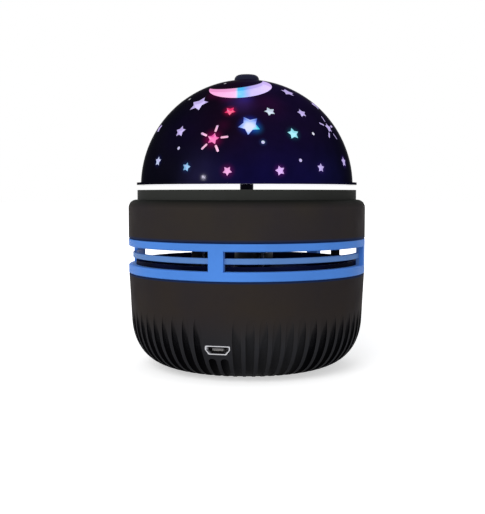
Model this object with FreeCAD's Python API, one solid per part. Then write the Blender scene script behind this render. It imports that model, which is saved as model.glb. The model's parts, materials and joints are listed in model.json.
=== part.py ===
"""Star projector night light: a fluted base with a vent ring, and a pierced dome that a gear train turns.

Millimetres, +Z up.  The origin is on the lamp axis, at the surface that the grip pad stands on.
Bearings are degrees round the lamp axis: 0 is the USB port (-Y) and +90 is its right-hand side (+X).
"""
import FreeCAD, Part
import math
import os
from FreeCAD import Vector

ORIGIN = Vector(0, 0, 0)
UP = Vector(0, 0, 1)

# ---------------------------------------------------------------- driving dimensions
# heights of the stack, from the table up
pad_proud = 0.6             # the grip pad lifts the shell off the table by this much
base_height = 35.3
ring_height = 13.1
housing_height = 14.4
collar_height = 3.6
dome_gap = 1.9              # running gap between the collar and the dome's rim

# outside radii: the vent ring's, and the steps from it to the others
ring_radius = 45.0
base_step = 0.1             # from the ring in to the base's top edge
base_taper = 0.9            # from there in to the base's waist
collar_step = 3.4           # from the ring in to the collar
mouth_step = 3.0            # from the collar in to the housing's mouth
dome_step = 1.3             # from the collar in to the dome
rim_lip = 1.5               # from the dome out to its rim

# base shell
waist_height = 17.9         # where the draft ends and the round bottom corner begins
corner_reach = 16.6         # from the waist in to the flat middle of the underside
side_fullness = 0.6         # how far the corner curve follows the wall before it turns
side_lean = 0.031           # how far it has left the wall by then, as a share of the waist's height
floor_fullness = 0.61       # how far it follows the underside
floor_lean = 0.031          # how far it has left the underside by then
wall = 2.4
seam = 0.3                  # chamfer at the seams between the housings and the ring
ledge_width = 1.6
ledge_height = 2.2

# flutes: scooped grooves that run down the wall and round the corner
flute_count = 60
flute_degrees = 4.07
flute_start = 22.6          # height above the underside where a groove begins
flute_depth = 1.25
# sections of a groove: share of the way, share of its full width and share of its full depth
flute_on_wall = ((0.0, 0.45, 0.03), (0.5, 0.85, 0.2))        # from its start to the waist
flute_on_corner = (         # from the waist to the underside
    (0.0, 0.97, 0.42), (0.2, 1.0, 0.75), (0.4, 1.0, 1.0), (0.6, 1.0, 0.9), (0.8, 1.0, 0.6), (0.97, 1.0, 0.1),
)
port_pad_degrees = 6.0      # the grooves within this bearing of the port are short
short_flute_top = 8.7       # height above the underside where they end

# USB port
port_height = 11.8          # above the underside of the shell
port_width = 9.1
port_opening = 3.3
port_bevel = 1.3            # the lower corners of the mouth are cut back by this much
port_round = 0.45           # radius of all its corners
port_shoulder = 0.45        # share of the mouth's height where its sides are upright
port_gap = 0.15             # between the socket's lips and the shell
socket_recess = 0.25        # of the lips behind the shell's outside
socket_width = 7.5
socket_tall = 2.6
socket_wall = 0.3
socket_depth = 5.6
lip_depth = 0.7
tongue_width = 3.9
tongue_thickness = 0.7
tongue_lift = 0.2           # of the tongue above the middle of the mouth
tongue_recess = 0.8         # of its tip behind the lips
tongue_root = 1.2           # depth of the block that holds the tongue at the socket's back
contact_width = 0.4
contact_thickness = 0.12
contact_recess = 0.4        # of the contacts behind the tongue's tip
contact_pitch = 0.65
contact_count = 5

# main board
board_thickness = 1.2
board_width = 26.0
board_length = 19.0
board_setback = 6.2         # from the socket's lips in to the board's front edge
board_nose_width = 10.0     # the nose carries the socket's front
board_nose_length = 2.1
board_post_inset = 3.0      # of the posts from the board's sides and its back edge
board_post_setback = 5.5    # of the front posts from its front edge
board_post_radius = 2.2
board_bite = 4.0
chip_size = (5.0, 4.0, 1.5)
chip_shift = 5.2            # from the middle of the board to the right
capacitor_radius = 2.5
capacitor_height = 7.0
capacitor_round = 0.5
capacitor_shift = 6.5       # from the middle of the board to the left
header_size = (7.0, 3.0, 3.4)
header_inset = 1.0          # from the board's back edge

# vent ring
ring_wall = 2.6
lower_band = 3.4
upper_band = 2.9
rib_height = 2.0
rib_bottom = 5.9            # above the ring's lower edge
rib_inset = 1.6             # of the rib inside the ring's face
rib_wall = 1.3
band_round = 0.5
rib_round = 0.3
ring_lip_wall = 1.2         # the lip on top of the ring enters a groove in the housing
ring_lip_height = 1.2
ring_post_width = 5.25
ring_post_bearings = (0, 90, 153, 207, 270)
rib_bearings = ((0, 90), (270, 360))

# lid of the base, with the rim that the vent ring drops over
plate = 2.0                 # thickness of every moulded floor and lid
spigot_wall = 1.6
spigot_gap = 0.2
lid_gap = 0.15
lid_rim = 4.9               # height of the rim above the ring's lower edge
wire_hole_radius = 1.9

# grip pad
grip_margin = 2.3           # between the pad and the edge of the flat underside
grip_thickness = 1.2
grip_gap = 0.15

# posts and screws
post_inset = 11.0           # of the spacer posts from the ring's face
post_radius = 1.7
post_bearings = (-17.6, 102.4, 222.4)
base_screw_circle = 16.0
base_screw_bearings = (60, 180, 300)
screw_radius = 1.0
screw_clear = 0.1
head_radius = 1.9
head_height = 1.3
head_round = 0.4
head_sink = 0.3             # of the base screws' heads above the grip pad
boss_radius = 2.8
well_wall = 1.2             # of the screw wells in the base, outside the bosses
thread_bite = 6.0           # length of a screw in its boss
tip_gap = 0.5               # free depth under a screw's tip
blind_skin = 0.3            # what a blind hole leaves under the far face
pin_skin = 0.5              # what the holes of the gears' pins leave

# upper housing and lamp deck
shoulder_round = 3.0
inner_chamfer = 1.0
deck_gap = 0.2
deck_spigot_depth = 2.0
deck_screw_inset = 5.2      # from the housing's mouth
window_outer = 22.0
window_inner = 6.6
window_thickness = 1.0
window_gap = 0.1
lamp_count = 6
lamp_circle = 14.0
lamp_size = 5.0
lamp_body_height = 1.2
lamp_lens_radius = 2.0
lamp_lens_height = 0.3
lamp_hole_radius = 3.9
lamp_post_radius = 2.0
lamp_board_drop = 4.4       # from the deck's top down to the lamp board's top
lamp_board_thickness = 1.0
lamp_board_radius = 21.0
lamp_board_bore = 5.0
lamp_screw_circle = 18.6

# gear train: motor pinion, two compound gears, and the wheel on the stem
gear_module = 0.6
pinion_teeth = 12
wheel_teeth = 36
pressure_angle = math.radians(20)
dedendum = 1.25             # of a wheel's root below its pitch circle, in modules
addendum_shift = 0.3        # long pinion teeth and short wheel teeth, so that neither is undercut
backlash = 0.12             # along the pitch circle
wheel_thickness = 1.8
gear_step = 0.35            # free height between a wheel and what turns above or below it
web_sink = 0.4
web_depth = 3.2             # from the pitch circle in to the sunk web, in modules
web_land = 4.8              # outside radius of the flat round the hub
hub_radius = 2.2
motor_offset = 12.0         # motor axis from the lamp axis, on bearing 180
second_gear_bearing = 60.0  # bearing of the second compound gear's pin from the lamp axis
pin_radius = 0.75
shaft_fit = 0.05            # radial running clearance of every shaft and gear
end_play = 0.2              # free length at the end of a shaft or pin
thrust_step = 0.7           # of the collar under each compound gear
gear_plate_gap = 0.45       # between the train and the gear plate
gear_plate_thickness = 1.4
gear_plate_margin = 4.5
gear_plate_posts = ((-13.0, 10.0), (-11.0, -14.0), (27.5, 0.0))

# motor
motor_radius = 7.65
motor_clear = 0.8           # between the can and the lid of the base
motor_round = 0.8
motor_flange = 0.8
motor_ear_reach = 10.0
motor_ear_radius = 2.6
motor_nose_radius = 2.5
motor_bore_depth = 6.0      # below the gear floor
terminal_size = (6.0, 1.6, 4.0)
terminal_shift = 4.0        # from the middle of the motor to the right
terminal_drop = 1.5         # below the flange

# stem, bushes and cap
stem_radius = 2.55
journal_radius = 1.5
seat_radius = 2.0
bush_wall = 1.2
bush_flange = 0.8
bush_flange_radius = 3.6
bush_drop = 1.2             # of the upper bush below the deck's plate
stem_flange_radius = 4.2
stem_flange_thickness = 1.0
cap_radius = 4.7
cap_height = 2.2
cap_round = 1.9
cap_thread_depth = 1.4

# dome
dome_sink = 0.6             # of the ball's centre below the dome's rim
dome_wall = 1.2
lens_gap = 0.1
lens_wall = 1.0
lens_pad = 0.6              # flat pad under the lens's crown, for the stem's flange
pad_margin = 0.6            # of the pad outside that flange
crown_flat = 2.0            # flat round the cap
rim_thickness = 0.9
star_waist = 0.55           # inner corners of a star as a share of its points
dot_radius = 0.6
ray_start = 1.15            # gap in a rayed star, from the points of its body to its rays
ray_end = 2.35
ray_width = 0.85
cutter_margin = 0.6         # how far every motif's cutter stands clear of both sides of the wall

# bearing, height in degrees above the ball's equator, radius, turn in the face of the dome
stars = (
    (-24.5, 46.5, 4.0, -5), (2.7, 40, 2.1, 40), (15, 31, 4.0, 29), (28.5, 39.8, 2.1, 17), (52.5, 39.7, 2.1, 5),
    (57, 57.5, 3.0, -18), (40, 26.5, 2.3, 5), (54, 9, 1.7, -4), (77, 12.7, 2.1, 0), (30, 7.3, 1.8, 15),
    (4, 7.1, 1.7, 38), (-18, 9.2, 1.7, -13), (-40, 12.7, 1.9, -4), (-27.6, 28.4, 2.4, -1), (-57, 32, 2.4, 10),
    (83, 48, 3.0, 12), (108, 14, 1.8, 12), (118, 37, 4.0, 20), (134, 22, 1.9, 40), (150, 46, 2.4, 0),
    (149, 8, 1.7, 30), (166, 27, 4.0, 36), (177, 9, 1.8, 10), (184, 52, 2.2, 24), (207, 16, 2.1, 0),
    (216, 38, 3.6, 16), (229, 10, 1.7, 36), (250, 52, 2.3, 8), (257, 11, 1.8, 20), (274, 36, 4.0, 0),
    (286, 15, 1.9, 30), (297, 50, 2.1, 12),
)
rayed_stars = ((-4.7, 23.5, 2.3, -9), (73, 31.5, 2.3, -3), (192, 30, 2.3, 12), (246, 31, 2.3, 26))
dots = (
    (22, 21.5), (54, 27), (41.5, 12.5), (-25, 19), (-44, 52), (-20, 69), (97, 28), (136, 36),
    (152, 64), (160, 14), (222, 56), (226, 24), (266, 22), (272, 58), (288, 33),
)
moon_place = (5, 66.5)
moon_radius = 11.4
moon_bite_radius = 10.0
moon_bite_shift = (-2.7, 5.7)   # of the bite's centre, to the right and up in the face of the dome

# leads between the boards and the motor
lead_radius = 0.5
lead_pitch = 1.2
motor_lead_pin = 2.0        # from the middle of the header to the right
lamp_lead_pin = -2.0
motor_lead_place = (5.0, 3.5)
lamp_lead_place = (-19.0, 4.0)
lamp_lead_turn = -14.0      # y where the lamp leads have passed the outside of the lid's boss
lead_bend = 4.0             # length of each run that a bend takes up
lead_rise = 22.0            # height at which the leads leave the header's column
lead_cross = 27.0           # height at which they arrive under their hole in the lid

overcut = 2.0               # how far a cutter runs past the face that it opens
near_level = 0.01           # an edge this near a level counts as on it
halvings = 40               # steps of the search for the wall at the height of the port

# ---------------------------------------------------------------- levels worked out from them
shell_bottom = pad_proud
ring_bottom = shell_bottom + base_height
housing_bottom = ring_bottom + ring_height
collar_bottom = housing_bottom + housing_height
deck_top = collar_bottom + collar_height
dome_bottom = deck_top + dome_gap
dome_centre = dome_bottom - dome_sink

base_top_radius = ring_radius - base_step
base_waist_radius = base_top_radius - base_taper
flat_radius = base_waist_radius - corner_reach
grip_radius = flat_radius - grip_margin
collar_radius = ring_radius - collar_step
mouth_radius = collar_radius - mouth_step
dome_radius = collar_radius - dome_step
rim_radius = dome_radius + rim_lip
rib_radius = ring_radius - rib_inset
post_circle = ring_radius - post_inset
deck_screw_circle = mouth_radius - deck_screw_inset
screw_hole_radius = screw_radius + screw_clear
ring_bore = ring_radius - ring_wall
spigot_radius = ring_bore - spigot_gap
base_bore = base_top_radius - wall
shell_floor = shell_bottom + wall
board_top = shell_bottom + port_height - socket_tall / 2
board_bottom = board_top - board_thickness
gear_floor = housing_bottom + plate

centre_distance = gear_module * (wheel_teeth + pinion_teeth) / 2
tier_pitch = wheel_thickness + gear_step
tier_bottoms = [gear_floor + gear_step + tier_pitch * tier for tier in range(3)]
train_top = tier_bottoms[2] + wheel_thickness
gear_plate_bottom = train_top + gear_plate_gap
gear_plate_top = gear_plate_bottom + gear_plate_thickness

lamp_board_top = deck_top - lamp_board_drop
lamp_board_bottom = lamp_board_top - lamp_board_thickness
lens_radius = dome_radius - dome_wall - lens_gap
lens_bore = lens_radius - lens_wall
lens_seat = dome_centre + lens_bore - lens_pad
cap_seat = dome_centre + math.sqrt(dome_radius ** 2 - cap_radius ** 2)


# ---------------------------------------------------------------- helpers
def at(radius, bearing, height=0.0):
    """The point at a radius and bearing round the lamp axis."""
    turn = math.radians(bearing)
    return Vector(radius * math.sin(turn), -radius * math.cos(turn), height)


def rod(radius, bottom, top, centre=ORIGIN):
    return Part.makeCylinder(radius, top - bottom, Vector(centre.x, centre.y, bottom))


def tube(outer, inner, bottom, top, centre=ORIGIN):
    return rod(outer, bottom, top, centre).cut(rod(inner, bottom, top, centre))


def block(size, centre_x, centre_y, bottom):
    """A box from (width, length, height), centred in plan."""
    corner = Vector(centre_x - size[0] / 2, centre_y - size[1] / 2, bottom)
    return Part.makeBox(size[0], size[1], size[2], corner)


def joined(shapes):
    whole = shapes[0].fuse(shapes[1:])
    return whole.removeSplitter()


def turned(outline):
    """A solid of revolution about the lamp axis from (radius, height) corners."""
    corners = [Vector(0, -radius, height) for radius, height in outline]
    return Part.Face(Part.makePolygon(corners + corners[:1])).revolve(ORIGIN, UP, 360)


def turned_edges(edges, first_bearing=0, last_bearing=360):
    """A solid of revolution from edges in the plane of the port, between two bearings."""
    face = Part.Face(Part.Wire(Part.sortEdges(edges)[0]))
    solid = face.revolve(ORIGIN, UP, last_bearing - first_bearing)
    solid.rotate(ORIGIN, UP, first_bearing)
    return solid


def line(start, end):
    """A straight edge between two (radius, height) points in the plane of the port."""
    return Part.makeLine(Vector(0, -start[0], start[1]), Vector(0, -end[0], end[1]))


def corner_arc(centre, radius, first_degrees, last_degrees):
    """A round corner in the plane of the port; 0 degrees points outwards and 90 up."""
    points = []
    for degrees in (first_degrees, (first_degrees + last_degrees) / 2, last_degrees):
        turn = math.radians(degrees)
        points.append(Vector(0, -centre[0] - radius * math.cos(turn), centre[1] + radius * math.sin(turn)))
    return Part.Arc(*points).toShape()


def band(inner, outer, bottom, top, rounding, first_bearing=0, last_bearing=360):
    """A hoop, or a part of one, with rounded outer edges."""
    edges = [
        line((inner, bottom), (outer - rounding, bottom)),
        corner_arc((outer - rounding, bottom + rounding), rounding, -90, 0),
        line((outer, bottom + rounding), (outer, top - rounding)),
        corner_arc((outer - rounding, top - rounding), rounding, 0, 90),
        line((outer - rounding, top), (inner, top)),
        line((inner, top), (inner, bottom)),
    ]
    return turned_edges(edges, first_bearing, last_bearing)


def screw(centre, seat, tip, radius=screw_radius):
    """A pan-head screw; its head is on the side of the seat away from the tip."""
    length = abs(tip - seat)
    head = Part.makeCylinder(head_radius, head_height)
    rim = [edge for edge in head.Edges if edge.Closed and edge.CenterOfMass.z > head_height - near_level]
    head = head.makeFillet(head_round, rim)
    shank = Part.makeCylinder(radius, length, Vector(0, 0, -length))
    whole = joined([head, shank])
    if tip > seat:
        whole.rotate(ORIGIN, Vector(1, 0, 0), 180)
    whole.translate(Vector(centre.x, centre.y, seat))
    return whole


# ---------------------------------------------------------------- base
def wall_curve(inset=0.0):
    """Poles of the round bottom corner, from the waist to the flat of the underside."""
    waist = Vector(0, -(base_waist_radius - inset), shell_bottom + waist_height)
    flat = Vector(0, -flat_radius, shell_bottom + inset)
    side = Vector(0, waist.y + side_lean * waist_height, waist.z + side_fullness * (flat.z - waist.z))
    floor = Vector(0, flat.y + floor_fullness * (waist.y - flat.y), flat.z + floor_lean * (waist.z - flat.z))
    curve = Part.BezierCurve()
    curve.setPoles([waist, side, floor, flat])
    return curve


def revolved_body(curve, top_radius, top_height, bottom_height):
    """The solid inside a corner curve, closed by the draft above it and the flat below it."""
    poles = curve.getPoles()
    waist = (-poles[0].y, poles[0].z)
    edges = [
        curve.toShape(),
        line((flat_radius, bottom_height), (0, bottom_height)),
        line((0, bottom_height), (0, top_height)),
        line((0, top_height), (top_radius, top_height)),
        line((top_radius, top_height), waist),
    ]
    return turned_edges(edges)


def base_outside():
    body = revolved_body(wall_curve(), base_top_radius, ring_bottom, shell_bottom)
    rim = [edge for edge in body.Edges if edge.Closed and edge.CenterOfMass.z > ring_bottom - near_level]
    return body.makeChamfer(seam, rim)


def groove_stations():
    """Centre, direction, half width and depth of one groove's section, from the wall to the underside."""
    curve = wall_curve()
    draft = (base_top_radius - base_waist_radius) / (base_height - waist_height)
    waist_above = flute_start - waist_height
    stations = []
    for share, width, depth in flute_on_wall:
        height = waist_height + waist_above * (1 - share)
        centre = Vector(0, -(base_waist_radius + draft * (height - waist_height)), shell_bottom + height)
        stations.append((centre, Vector(0, draft, -1), width, depth))
    for share, width, depth in flute_on_corner:
        stations.append((curve.value(share), curve.tangent(share)[0], width, depth))
    half_turn = math.radians(flute_degrees) / 2
    return [(centre, along, -centre.y * half_turn * width, depth * flute_depth)
            for centre, along, width, depth in stations]


def groove_section(centre, along, half_width, depth):
    """Half of this ellipse lies in the wall and half outside it."""
    inward = along.cross(Vector(1, 0, 0)).normalize()
    side = centre + Vector(half_width, 0, 0)
    return Part.Wire(Part.Ellipse(side, centre + inward * depth, centre).toShape())


def groove_cutter():
    return Part.makeLoft([groove_section(*station) for station in groove_stations()], True, False)


def short_groove_cutter(long_cutter):
    """The groove under the port: the long one cut off with a round top."""
    half_width = base_waist_radius * math.radians(flute_degrees) / 2
    reach = base_waist_radius + flute_depth + overcut
    middle = shell_bottom + short_flute_top - half_width
    below = Part.makeBox(2 * half_width, reach, middle + overcut, Vector(-half_width, -reach, -overcut))
    top = Part.makeCylinder(half_width, reach, Vector(0, -reach, middle), Vector(0, 1, 0))
    return long_cutter.common(below.fuse(top))


def groove_cutters():
    pitch = 360 / flute_count
    long_cutter = groove_cutter()
    short_cutter = short_groove_cutter(long_cutter)
    cutters = []
    for index in range(flute_count):
        bearing = (index + 0.5) * pitch
        from_port = min(bearing, 360 - bearing)
        cutter = (short_cutter if from_port < port_pad_degrees else long_cutter).copy()
        cutter.rotate(ORIGIN, UP, bearing)
        cutters.append(cutter)
    return cutters


def rounded_outline(points, radius):
    """A closed outline with an arc of the given radius at each of its corners."""
    arcs = []
    for index, corner in enumerate(points):
        before = (points[index - 1] - corner).normalize()
        after = (points[(index + 1) % len(points)] - corner).normalize()
        half_angle = before.getAngle(after) / 2
        inward = (before + after).normalize()
        reach = radius / math.tan(half_angle)
        top = radius / math.sin(half_angle) - radius
        arcs.append((corner + before * reach, corner + inward * top, corner + after * reach))
    edges = []
    for index, (start, middle, end) in enumerate(arcs):
        edges.append(Part.Arc(start, middle, end).toShape())
        edges.append(Part.LineSegment(end, arcs[(index + 1) % len(arcs)][0]).toShape())
    return Part.Wire(edges)


def socket_outline(width, height, bevel, distance):
    """The mouth of the port, wide side up, in a plane square to the port's direction."""
    middle = shell_bottom + port_height
    half = width / 2
    shoulder = height * (0.5 - port_shoulder)
    corners = [
        (-half, height / 2), (half, height / 2), (half, shoulder),
        (half - bevel, -height / 2), (bevel - half, -height / 2), (-half, shoulder),
    ]
    return rounded_outline([Vector(x, -distance, middle + z) for x, z in corners], port_round)


def socket_prism(width, height, bevel, front, back):
    face = Part.Face(socket_outline(width, height, bevel, front))
    return face.extrude(Vector(0, front - back, 0))


def port_face_radius():
    """Distance of the shell's outside from the axis at the height of the port."""
    curve = wall_curve()
    low = 0.0
    high = 1.0
    for _ in range(halvings):
        share = (low + high) / 2
        if curve.value(share).z > shell_bottom + port_height:
            low = share
        else:
            high = share
    return -curve.value(low).y


socket_front = port_face_radius() - socket_recess
board_front = socket_front - board_setback
board_back = board_front - board_length
board_middle = board_front - board_length / 2
header_y = -(board_back + header_inset + header_size[1] / 2)
board_posts = [(side * (board_width / 2 - board_post_inset), -distance) for side in (-1, 1)
               for distance in (board_back + board_post_inset, board_front - board_post_setback)]
base_screw_seat = shell_bottom + grip_thickness - pad_proud + head_sink + head_height


def base_shell():
    outside = base_outside()
    cavity = revolved_body(wall_curve(wall), base_bore, ring_bottom, shell_floor)
    ledge_top = ring_bottom - plate
    ledge_foot = ledge_top - ledge_height - ledge_width
    ledge = turned([
        (base_bore - ledge_width, ledge_top), (base_bore + wall / 2, ledge_top),
        (base_bore + wall / 2, ledge_foot), (base_bore, ledge_foot),
        (base_bore - ledge_width, ledge_top - ledge_height),
    ])
    inner = [ledge]
    for x, y in board_posts:
        inner.append(rod(board_post_radius, shell_bottom, board_bottom, Vector(x, y, 0)))
    for bearing in base_screw_bearings:
        centre = at(base_screw_circle, bearing)
        inner.append(rod(boss_radius + well_wall, shell_bottom, shell_floor + wall, centre))
    shell = outside.cut(cavity)
    shell = shell.fuse([piece.common(outside) for piece in inner]).removeSplitter()
    cuts = groove_cutters()
    port_back = socket_front - wall - overcut
    cuts.append(socket_prism(port_width, port_opening, port_bevel, base_top_radius + overcut, port_back))
    cuts.append(rod(grip_radius + grip_gap, shell_bottom - overcut, shell_bottom + grip_thickness - pad_proud))
    for x, y in board_posts:
        cuts.append(rod(screw_radius, board_bottom - board_bite, board_bottom, Vector(x, y, 0)))
    for bearing in base_screw_bearings:
        centre = at(base_screw_circle, bearing)
        cuts.append(rod(screw_hole_radius, shell_bottom, shell_floor + wall, centre))
        cuts.append(rod(head_radius + screw_clear, shell_bottom, base_screw_seat, centre))
    return shell.cut(cuts)


def grip_pad():
    return rod(grip_radius, 0, grip_thickness)


def base_lid():
    plate_radius = base_bore - lid_gap
    lid = turned([
        (0, ring_bottom - plate), (plate_radius, ring_bottom - plate), (plate_radius, ring_bottom),
        (spigot_radius, ring_bottom), (spigot_radius, ring_bottom + lid_rim),
        (spigot_radius - spigot_wall, ring_bottom + lid_rim), (spigot_radius - spigot_wall, ring_bottom),
        (0, ring_bottom),
    ])
    bosses = [rod(boss_radius, shell_floor + wall, ring_bottom - plate / 2, at(base_screw_circle, bearing))
              for bearing in base_screw_bearings]
    lid = joined([lid] + bosses)
    cuts = []
    for bearing in base_screw_bearings:
        top = shell_floor + wall + thread_bite
        cuts.append(rod(screw_radius, shell_floor, top, at(base_screw_circle, bearing)))
    for bearing in post_bearings:
        cuts.append(rod(screw_hole_radius, ring_bottom - plate, ring_bottom, at(post_circle, bearing)))
    for x, y in (motor_lead_place, lamp_lead_place):
        cuts.append(rod(wire_hole_radius, ring_bottom - plate, ring_bottom, Vector(x, y, 0)))
    return lid.cut(cuts)


def base_screws():
    return [screw(at(base_screw_circle, bearing), base_screw_seat, shell_floor + wall + thread_bite)
            for bearing in base_screw_bearings]


# ---------------------------------------------------------------- boards and USB socket
def main_board():
    board = Part.makeBox(board_width, board_length, board_thickness,
                         Vector(-board_width / 2, -board_front, board_bottom))
    nose = Part.makeBox(board_nose_width, board_nose_length + overcut, board_thickness,
                        Vector(-board_nose_width / 2, -board_front - board_nose_length, board_bottom))
    holes = [rod(screw_hole_radius, board_bottom, board_top, Vector(x, y, 0)) for x, y in board_posts]
    return joined([board, nose]).cut(holes)


def board_screws():
    return [screw(Vector(x, y, 0), board_top, board_bottom - board_bite + tip_gap) for x, y in board_posts]


def usb_socket():
    back = socket_front - socket_depth
    inner_width = socket_width - 2 * socket_wall
    inner_tall = socket_tall - 2 * socket_wall
    body = socket_prism(socket_width, socket_tall, port_bevel, socket_front, back)
    lip_width = port_width - 2 * port_gap
    lip_tall = port_opening - 2 * port_gap
    lip_back = socket_front - lip_depth
    lip = Part.makeLoft([socket_outline(lip_width, lip_tall, port_bevel, socket_front),
                         socket_outline(socket_width, socket_tall, port_bevel, lip_back)], True, True)
    hollow = socket_prism(inner_width, inner_tall, port_bevel, socket_front, back + socket_wall)
    flare_width = lip_width - 2 * socket_wall
    flare_tall = lip_tall - 2 * socket_wall
    flare = Part.makeLoft([socket_outline(flare_width, flare_tall, port_bevel, socket_front),
                           socket_outline(inner_width, inner_tall, port_bevel, lip_back)], True, True)
    return joined([body, lip]).cut([hollow, flare])


tongue_bottom = shell_bottom + port_height - tongue_thickness / 2 + tongue_lift


def usb_tongue():
    back = socket_front - socket_depth + socket_wall
    tip = socket_front - tongue_recess
    corner = Vector(-tongue_width / 2, -tip, tongue_bottom)
    tongue = Part.makeBox(tongue_width, tip - back, tongue_thickness, corner)
    root = socket_prism(socket_width - 2 * socket_wall, socket_tall - 2 * socket_wall, port_bevel,
                        back + tongue_root, back)
    return joined([tongue, root])


def usb_contacts():
    front = socket_front - tongue_recess - contact_recess
    back = socket_front - socket_depth + socket_wall + tongue_root
    strips = []
    for index in range(contact_count):
        x = (index - (contact_count - 1) / 2) * contact_pitch
        corner = Vector(x - contact_width / 2, -front, tongue_bottom - contact_thickness)
        strips.append(Part.makeBox(contact_width, front - back, contact_thickness, corner))
    return strips


def driver_chip():
    return block(chip_size, chip_shift, -board_middle, board_top)


def filter_capacitor():
    centre = Vector(-capacitor_shift, -board_middle, 0)
    can = rod(capacitor_radius, board_top, board_top + capacitor_height, centre)
    middle = board_top + capacitor_height / 2
    top = [edge for edge in can.Edges if edge.Closed and edge.CenterOfMass.z > middle]
    return can.makeFillet(capacitor_round, top)


def lead_header():
    return block(header_size, 0, header_y, board_top)


# ---------------------------------------------------------------- vent ring and posts
def vent_ring():
    top = ring_bottom + ring_height
    lower = band(ring_bore, ring_radius, ring_bottom, ring_bottom + lower_band, band_round)
    upper = band(ring_bore, ring_radius, top - upper_band, top, band_round)
    lip = tube(ring_bore + ring_lip_wall, ring_bore, top - upper_band / 2, top + ring_lip_height)
    rib_base = ring_bottom + rib_bottom
    rib_top = rib_base + rib_height
    pieces = [lower, upper, lip]
    for first, last in rib_bearings:
        pieces.append(band(rib_radius - rib_wall, rib_radius, rib_base, rib_top, rib_round, first, last))
    hoop = tube(ring_radius, ring_bore, ring_bottom + lower_band / 2, top - upper_band / 2)
    for bearing in ring_post_bearings:
        slab = Part.makeBox(ring_post_width, ring_radius, ring_height,
                            Vector(-ring_post_width / 2, -ring_radius - overcut, ring_bottom))
        slab.rotate(ORIGIN, UP, bearing)
        pieces.append(hoop.common(slab))
    return joined(pieces)


def spacer_posts():
    return [tube(post_radius, screw_hole_radius, ring_bottom, housing_bottom, at(post_circle, bearing))
            for bearing in post_bearings]


def frame_screws():
    tip = gear_floor + thread_bite - blind_skin - tip_gap
    return [screw(at(post_circle, bearing), ring_bottom - plate, tip)
            for bearing in post_bearings]


# ---------------------------------------------------------------- upper housing
deck_screw_bearings = [bearing + 60 for bearing in post_bearings]
motor_centre = at(motor_offset, 180)
second_centre = at(centre_distance, second_gear_bearing)


def meeting_point(first, second, distance):
    """The point at one distance from both centres, on the side away from the lamp axis."""
    middle = (first + second) * 0.5
    across = second - first
    rise = math.sqrt(distance ** 2 - (across.Length / 2) ** 2)
    side = Vector(-across.y, across.x, 0) * (1 / across.Length)
    points = [middle + side * rise, middle - side * rise]
    return max(points, key=lambda point: point.Length)


first_centre = meeting_point(motor_centre, second_centre, centre_distance)


def upper_housing():
    top = collar_bottom
    bore = ring_radius - wall
    groove_inside = ring_bore - spigot_gap
    groove_outside = ring_bore + ring_lip_wall + spigot_gap
    groove_top = housing_bottom + ring_lip_height + spigot_gap
    edges = [
        line((0, housing_bottom), (groove_inside, housing_bottom)),
        line((groove_inside, housing_bottom), (groove_inside, groove_top)),
        line((groove_inside, groove_top), (groove_outside, groove_top)),
        line((groove_outside, groove_top), (groove_outside, housing_bottom)),
        line((groove_outside, housing_bottom), (ring_radius - seam, housing_bottom)),
        line((ring_radius - seam, housing_bottom), (ring_radius, housing_bottom + seam)),
        line((ring_radius, housing_bottom + seam), (ring_radius, top - shoulder_round)),
        corner_arc((ring_radius - shoulder_round, top - shoulder_round), shoulder_round, 0, 90),
        line((ring_radius - shoulder_round, top), (mouth_radius, top)),
        line((mouth_radius, top), (mouth_radius, top - wall)),
        line((mouth_radius, top - wall), (bore - inner_chamfer, top - wall)),
        line((bore - inner_chamfer, top - wall), (bore, top - wall - inner_chamfer)),
        line((bore, top - wall - inner_chamfer), (bore, gear_floor)),
        line((bore, gear_floor), (0, gear_floor)),
        line((0, gear_floor), (0, housing_bottom)),
    ]
    housing = turned_edges(edges)
    lift = gear_floor - plate / 2
    pieces = [housing]
    for bearing in post_bearings:
        pieces.append(rod(boss_radius, lift, gear_floor + thread_bite, at(post_circle, bearing)))
    for bearing in deck_screw_bearings:
        pieces.append(rod(boss_radius, lift, deck_top - plate, at(deck_screw_circle, bearing)))
    for x, y in gear_plate_posts:
        pieces.append(rod(boss_radius, lift, gear_plate_bottom, Vector(x, y, 0)))
    housing = joined(pieces)
    cuts = [rod(journal_radius + shaft_fit + bush_wall, housing_bottom, gear_floor)]
    cuts.append(rod(motor_nose_radius + shaft_fit, housing_bottom, gear_floor, motor_centre))
    for bearing in post_bearings:
        cuts.append(rod(screw_radius, housing_bottom, gear_floor + thread_bite - blind_skin,
                        at(post_circle, bearing)))
    for bearing in deck_screw_bearings:
        centre = at(deck_screw_circle, bearing)
        cuts.append(rod(screw_radius, deck_top - plate - thread_bite, deck_top, centre))
    for x, y in gear_plate_posts:
        cuts.append(rod(screw_radius, gear_plate_bottom - thread_bite, gear_plate_bottom, Vector(x, y, 0)))
    for centre in (first_centre, second_centre):
        cuts.append(rod(pin_radius, housing_bottom + pin_skin, gear_floor, centre))
    for side in (-1, 1):
        centre = motor_centre + Vector(side * motor_ear_reach, 0, 0)
        cuts.append(rod(screw_radius, housing_bottom, gear_floor - blind_skin, centre))
    cuts.append(rod(wire_hole_radius, housing_bottom, gear_floor, Vector(*lamp_lead_place, 0)))
    return housing.cut(cuts)


# ---------------------------------------------------------------- motor
terminal_bottom = housing_bottom - motor_flange - terminal_drop - terminal_size[2]


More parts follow.
